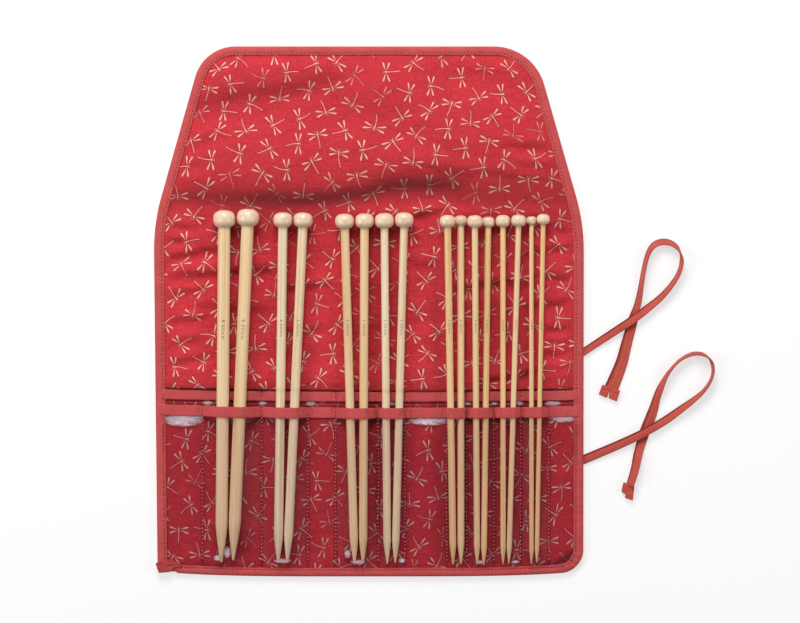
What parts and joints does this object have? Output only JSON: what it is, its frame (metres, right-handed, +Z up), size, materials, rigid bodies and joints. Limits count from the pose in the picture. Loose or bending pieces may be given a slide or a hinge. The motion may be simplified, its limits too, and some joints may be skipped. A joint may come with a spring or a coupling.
{
  "type": "knitting needle case",
  "caption": "Soft fabric case, open flat, with clear sleeve pockets for pairs of straight knitting needles, a flap that folds over their heads, and tie tapes.",
  "frame": {"origin": "middle of the open case on the surface it lies on, without the ties", "axes": "+Y from the pockets to the flap, +X to the side with the ties, +Z up out of the pockets"},
  "size_m": [0.3649, 0.3448, 0.0174],
  "materials": {
    "bamboo": "pale bamboo, sanded and lightly waxed, grain along the shaft",
    "head_wood": "pale pinkish turned wood, satin lacquer",
    "outer_cotton": "plain woven cotton",
    "interlining": "soft wadding",
    "printed_cotton": "red cotton with a small traditional dragonfly print in cream",
    "clear_vinyl": "clear soft vinyl, glossy",
    "bias_tape": "plain cotton bias tape",
    "tie_tape": "doubled cotton tape, stitched along its edge"
  },
  "bodies": {
    "case": {"outer_cover_body": "outer_cotton", "interlining_body": "interlining", "lining_body": "printed_cotton", "binding_body": "bias_tape", "back_pocket": "clear_vinyl", "back_pocket_tape": "bias_tape", "front_pocket": "clear_vinyl", "front_pocket_tape": "bias_tape", "tie_upper": "tie_tape", "tie_lower": "tie_tape", "tie_upper_tab": "tie_tape", "tie_lower_tab": "tie_tape", "binding_end_fold": "bias_tape"},
    "crease_strip": {"outer_cover_fold": "outer_cotton", "interlining_fold": "interlining", "lining_fold": "printed_cotton", "binding_fold_left": "bias_tape", "binding_fold_right": "bias_tape"},
    "flap": {"outer_cover_flap": "outer_cotton", "interlining_flap": "interlining", "lining_flap": "printed_cotton", "binding_flap": "bias_tape"},
    "needle_01": {"needle_shaft_01": "bamboo", "needle_head_01": "head_wood"},
    "needle_02": {"needle_shaft_02": "bamboo", "needle_head_02": "head_wood"},
    "needle_03": {"needle_shaft_03": "bamboo", "needle_head_03": "head_wood"},
    "needle_04": {"needle_shaft_04": "bamboo", "needle_head_04": "head_wood"},
    "needle_05": {"needle_shaft_05": "bamboo", "needle_head_05": "head_wood"},
    "needle_06": {"needle_shaft_06": "bamboo", "needle_head_06": "head_wood"},
    "needle_07": {"needle_shaft_07": "bamboo", "needle_head_07": "head_wood"},
    "needle_08": {"needle_shaft_08": "bamboo", "needle_head_08": "head_wood"},
    "needle_09": {"needle_shaft_09": "bamboo", "needle_head_09": "head_wood"},
    "needle_10": {"needle_shaft_10": "bamboo", "needle_head_10": "head_wood"},
    "needle_11": {"needle_shaft_11": "bamboo", "needle_head_11": "head_wood"},
    "needle_12": {"needle_shaft_12": "bamboo", "needle_head_12": "head_wood"},
    "needle_13": {"needle_shaft_13": "bamboo", "needle_head_13": "head_wood"},
    "needle_14": {"needle_shaft_14": "bamboo", "needle_head_14": "head_wood"},
    "needle_15": {"needle_shaft_15": "bamboo", "needle_head_15": "head_wood"},
    "needle_16": {"needle_shaft_16": "bamboo", "needle_head_16": "head_wood"}
  },
  "joints": [
    {"name": "lower_crease", "type": "hinge", "parent": "case", "child": "crease_strip", "pos_m": [0, 0.06919, 0.0037], "axis": [-1, 0, 0], "range_deg": [-90, 0]},
    {"name": "upper_crease", "type": "hinge", "parent": "crease_strip", "child": "flap", "pos_m": [0, 0.08469, 0.0037], "axis": [-1, 0, 0], "range_deg": [-90, 0]},
    {"name": "needle_01_slide", "type": "slide", "parent": "case", "child": "needle_01", "axis": [0.0094, 0.9998, 0.0146], "range_m": [0, 0.104]},
    {"name": "needle_02_slide", "type": "slide", "parent": "case", "child": "needle_02", "axis": [0.0439, 0.9989, 0.0146], "range_m": [0, 0.12]},
    {"name": "needle_03_slide", "type": "slide", "parent": "case", "child": "needle_03", "axis": [0.0143, 0.9998, 0.0142], "range_m": [0, 0.104]},
    {"name": "needle_04_slide", "type": "slide", "parent": "case", "child": "needle_04", "axis": [0.0466, 0.9988, 0.0142], "range_m": [0, 0.12]},
    {"name": "needle_05_slide", "type": "slide", "parent": "case", "child": "needle_05", "axis": [-0.0291, 0.9995, 0.015], "range_m": [0, 0.104]},
    {"name": "needle_06_slide", "type": "slide", "parent": "case", "child": "needle_06", "axis": [0.0045, 0.9999, 0.0145], "range_m": [0, 0.12]},
    {"name": "needle_07_slide", "type": "slide", "parent": "case", "child": "needle_07", "axis": [-0.0085, 0.9998, 0.0164], "range_m": [0, 0.104]},
    {"name": "needle_08_slide", "type": "slide", "parent": "case", "child": "needle_08", "axis": [0.026, 0.9995, 0.0159], "range_m": [0, 0.12]},
    {"name": "needle_09_slide", "type": "slide", "parent": "case", "child": "needle_09", "axis": [-0.017, 0.9993, 0.032], "range_m": [0, 0.104]},
    {"name": "needle_10_slide", "type": "slide", "parent": "case", "child": "needle_10", "axis": [-0.0004, 1, 0.0086], "range_m": [0, 0.12]},
    {"name": "needle_11_slide", "type": "slide", "parent": "case", "child": "needle_11", "axis": [-0.0072, 0.9995, 0.0301], "range_m": [0, 0.104]},
    {"name": "needle_12_slide", "type": "slide", "parent": "case", "child": "needle_12", "axis": [0.0125, 0.9999, 0.0095], "range_m": [0, 0.12]},
    {"name": "needle_13_slide", "type": "slide", "parent": "case", "child": "needle_13", "axis": [-0.0009, 0.9999, 0.0132], "range_m": [0, 0.104]},
    {"name": "needle_14_slide", "type": "slide", "parent": "case", "child": "needle_14", "axis": [0.0278, 0.9994, 0.0219], "range_m": [0, 0.12]},
    {"name": "needle_15_slide", "type": "slide", "parent": "case", "child": "needle_15", "axis": [0, 1, 0.0082], "range_m": [0, 0.104]},
    {"name": "needle_16_slide", "type": "slide", "parent": "case", "child": "needle_16", "axis": [0.0179, 0.9995, 0.0257], "range_m": [0, 0.12]}
  ]
}
